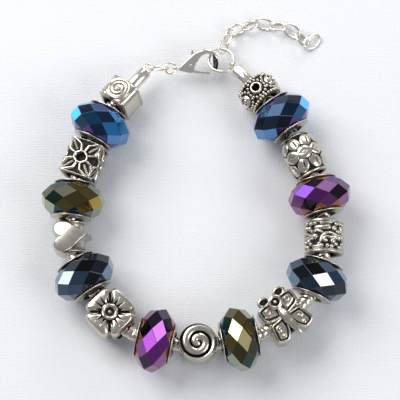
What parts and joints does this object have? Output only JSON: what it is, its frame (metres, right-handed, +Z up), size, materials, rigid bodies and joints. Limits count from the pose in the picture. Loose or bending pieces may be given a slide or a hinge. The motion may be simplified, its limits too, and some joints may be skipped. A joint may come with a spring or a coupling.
{
  "type": "charm bracelet",
  "caption": "Charm bracelet of big-hole beads on a round snake chain: faceted glass rondelles between cast silver charms, with a lobster clasp and an extension chain.",
  "frame": {"origin": "on the table, under the middle of the whole bracelet with its extension chain", "axes": "+Z up from the table, +Y from the front of the loop to its clasp, +X to the right as the wearer of the picture sees it"},
  "size_m": [0.0678, 0.0816, 0.0137],
  "materials": {
    "antique": "antiqued silver, polished on the high parts and dark in the recesses",
    "bright": "polished silver plate",
    "blue": "faceted glass with a dark metallic coating, deep blue",
    "green": "faceted glass with a dark metallic coating, olive green",
    "steel": "faceted glass with a dark metallic coating, slate grey",
    "purple": "faceted glass with a dark metallic coating, purple"
  },
  "bodies": {
    "bracelet": {"snake_chain": "antique", "glass_blue_left": "blue", "core_blue_left": "antique", "glass_green_left": "green", "core_green_left": "antique", "glass_steel_left": "steel", "core_steel_left": "antique", "glass_purple_front": "purple", "core_purple_front": "antique", "glass_green_front": "green", "core_green_front": "antique", "glass_steel_right": "steel", "core_steel_right": "antique", "glass_purple_right": "purple", "core_purple_right": "antique", "glass_blue_right": "blue", "core_blue_right": "antique", "swirl_cube": "antique", "star": "antique", "heart": "antique", "flower": "antique", "swirl_disc": "antique", "butterfly": "antique", "scroll_barrel": "antique", "leaf_knot": "antique", "granulated": "antique", "end_cap_left": "bright", "end_cap_right": "bright", "jump_ring": "bright", "clasp_body": "bright", "small_ring": "bright", "oval_link": "bright", "extension_link_1": "bright", "extension_link_2": "bright", "extension_link_3": "bright", "extension_link_4": "bright", "extension_link_5": "bright", "extension_link_6": "bright", "extension_link_7": "bright", "extension_link_8": "bright", "extension_link_9": "bright"},
    "lever": {"clasp_lever": "bright"}
  },
  "joints": [
    {"name": "lever_hinge", "type": "hinge", "parent": "bracelet", "child": "lever", "pos_m": [-0.0012, 0.02897, 0.0036], "axis": [0, -0.4695, 0.8829], "range_deg": [0, 20], "stiffness_Nm_per_rad": 0.001}
  ]
}
